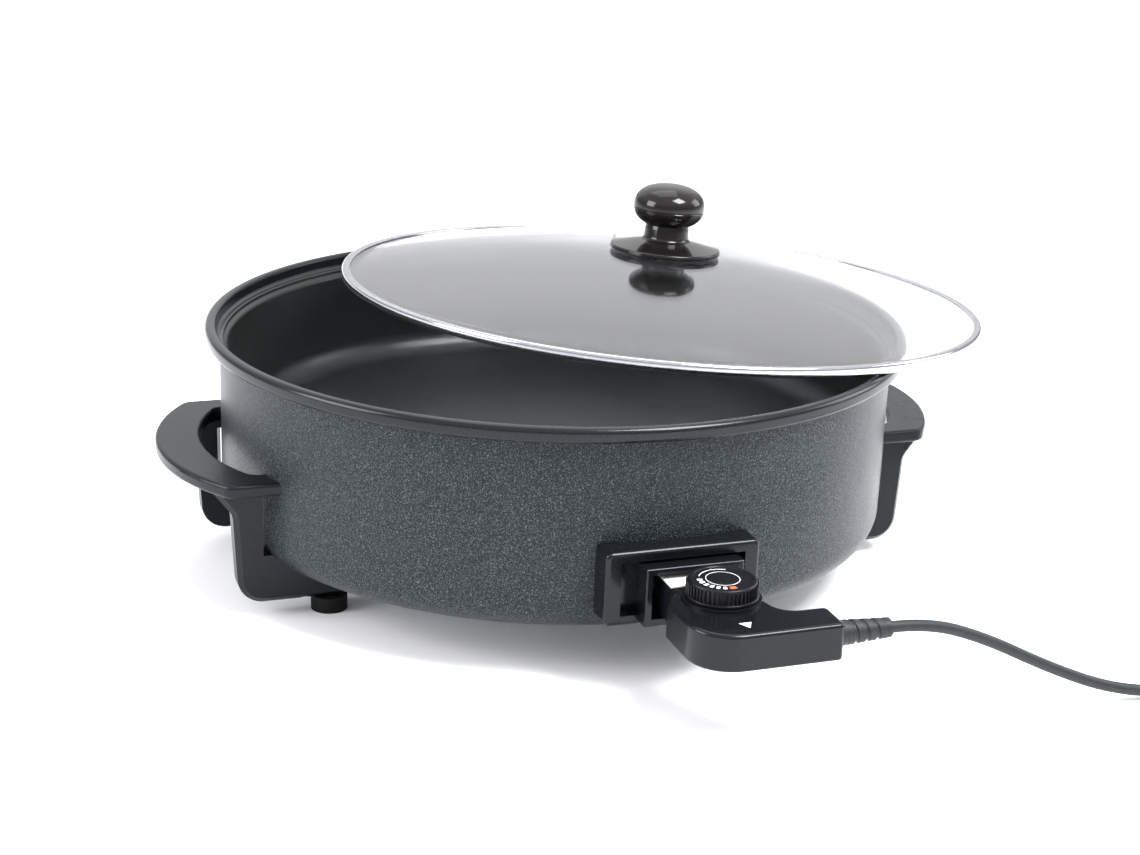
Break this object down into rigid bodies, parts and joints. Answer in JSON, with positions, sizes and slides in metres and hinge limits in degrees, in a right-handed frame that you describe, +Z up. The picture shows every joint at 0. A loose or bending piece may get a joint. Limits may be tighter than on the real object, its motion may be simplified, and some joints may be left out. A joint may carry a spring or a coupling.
{
  "type": "electric griddle",
  "caption": "Deep round electric griddle pan with side handles, domed glass lid set askew on the rim, and a plug-in dial thermostat probe on a coiled mains cord.",
  "frame": {"origin": "on the pan's axis at the table, in the middle of the four feet", "axes": "+Z up, -Y towards the thermostat socket, handles along X"},
  "size_m": [0.6354, 0.5431, 0.2188],
  "materials": {
    "nonstick_coat": "satin non-stick coating",
    "hammer_coat": "speckled hammer finish",
    "zinc_steel": "zinc plated",
    "bright_aluminium": "bright sheet",
    "stainless_steel": "bright drawn",
    "polished_band": "polished stainless",
    "nickel_pins": "nickel plated",
    "brass_contacts": "bare",
    "white_ceramic": "unglazed",
    "handle_plastic": "satin phenolic",
    "gloss_case": "moulded gloss",
    "foot_rubber": "matt",
    "lid_clear_glass": "clear tempered",
    "knob_plastic": "polished phenolic",
    "washer_rubber": "silicone",
    "white_mark": "printed white",
    "dial_plastic": "moulded gloss",
    "cord_rubber": "matt moulded",
    "plug_plastic": "matt moulded"
  },
  "bodies": {
    "pan": {"cooking_pan": "nonstick_coat", "outer_body": "hammer_coat", "bottom_cover": "zinc_steel", "cover_screws": "zinc_steel", "heat_reflector": "bright_aluminium", "reflector_posts": "zinc_steel", "heating_element": "stainless_steel", "element_clips": "zinc_steel", "sensor_sleeve": "stainless_steel", "terminal_pins": "nickel_pins", "terminal_bushes": "white_ceramic", "socket_frame": "gloss_case", "socket_sleeve": "gloss_case", "socket_screws": "zinc_steel", "earth_blade": "brass_contacts", "left_handle": "handle_plastic", "right_handle": "handle_plastic", "handle_screws": "zinc_steel", "handle_nuts": "zinc_steel", "foot_screws": "zinc_steel", "foot_left_front": "foot_rubber", "foot_left_back": "foot_rubber", "foot_right_front": "foot_rubber", "foot_right_back": "foot_rubber"},
    "lid": {"lid_glass": "lid_clear_glass", "lid_band": "polished_band", "lid_vent": "stainless_steel", "knob_base": "knob_plastic", "knob_cap": "knob_plastic", "knob_screw": "zinc_steel", "knob_washers": "washer_rubber"},
    "probe": {"probe_upper": "gloss_case", "probe_lower": "gloss_case", "probe_pointer": "white_mark", "housing_screws": "zinc_steel", "probe_nose": "gloss_case", "nose_shield": "white_ceramic", "probe_contacts": "brass_contacts", "sensor_rod": "stainless_steel", "thermostat_block": "white_ceramic", "blade_pivot": "zinc_steel", "dial_bezel": "dial_plastic", "strain_relief": "cord_rubber", "cord_tube": "cord_rubber", "cord_coil": "cord_rubber", "plug_body": "plug_plastic", "plug_pins": "nickel_pins"},
    "dial": {"dial": "dial_plastic", "dial_spindle": "zinc_steel"},
    "blade": {"contact_blade": "brass_contacts"}
  },
  "joints": [
    {"name": "lid_lift", "type": "slide", "parent": "pan", "child": "lid", "axis": [0, 0, 1], "range_m": [0, 0.15]},
    {"name": "probe_pull", "type": "slide", "parent": "pan", "child": "probe", "axis": [0, -1, 0], "range_m": [0, 0.09]},
    {"name": "dial_turn", "type": "hinge", "parent": "probe", "child": "dial", "pos_m": [0.006, -0.25, 0.07], "axis": [0, 0, -1], "range_deg": [0, 270]},
    {"name": "blade_swing", "type": "hinge", "parent": "probe", "child": "blade", "pos_m": [-0.0115, -0.274, 0.0586], "axis": [0, 0, -1], "range_deg": [0, 9]}
  ],
  "couplings": [
    {"joint": "blade_swing", "follows": "dial_turn", "ratio": 0.033333}
  ]
}
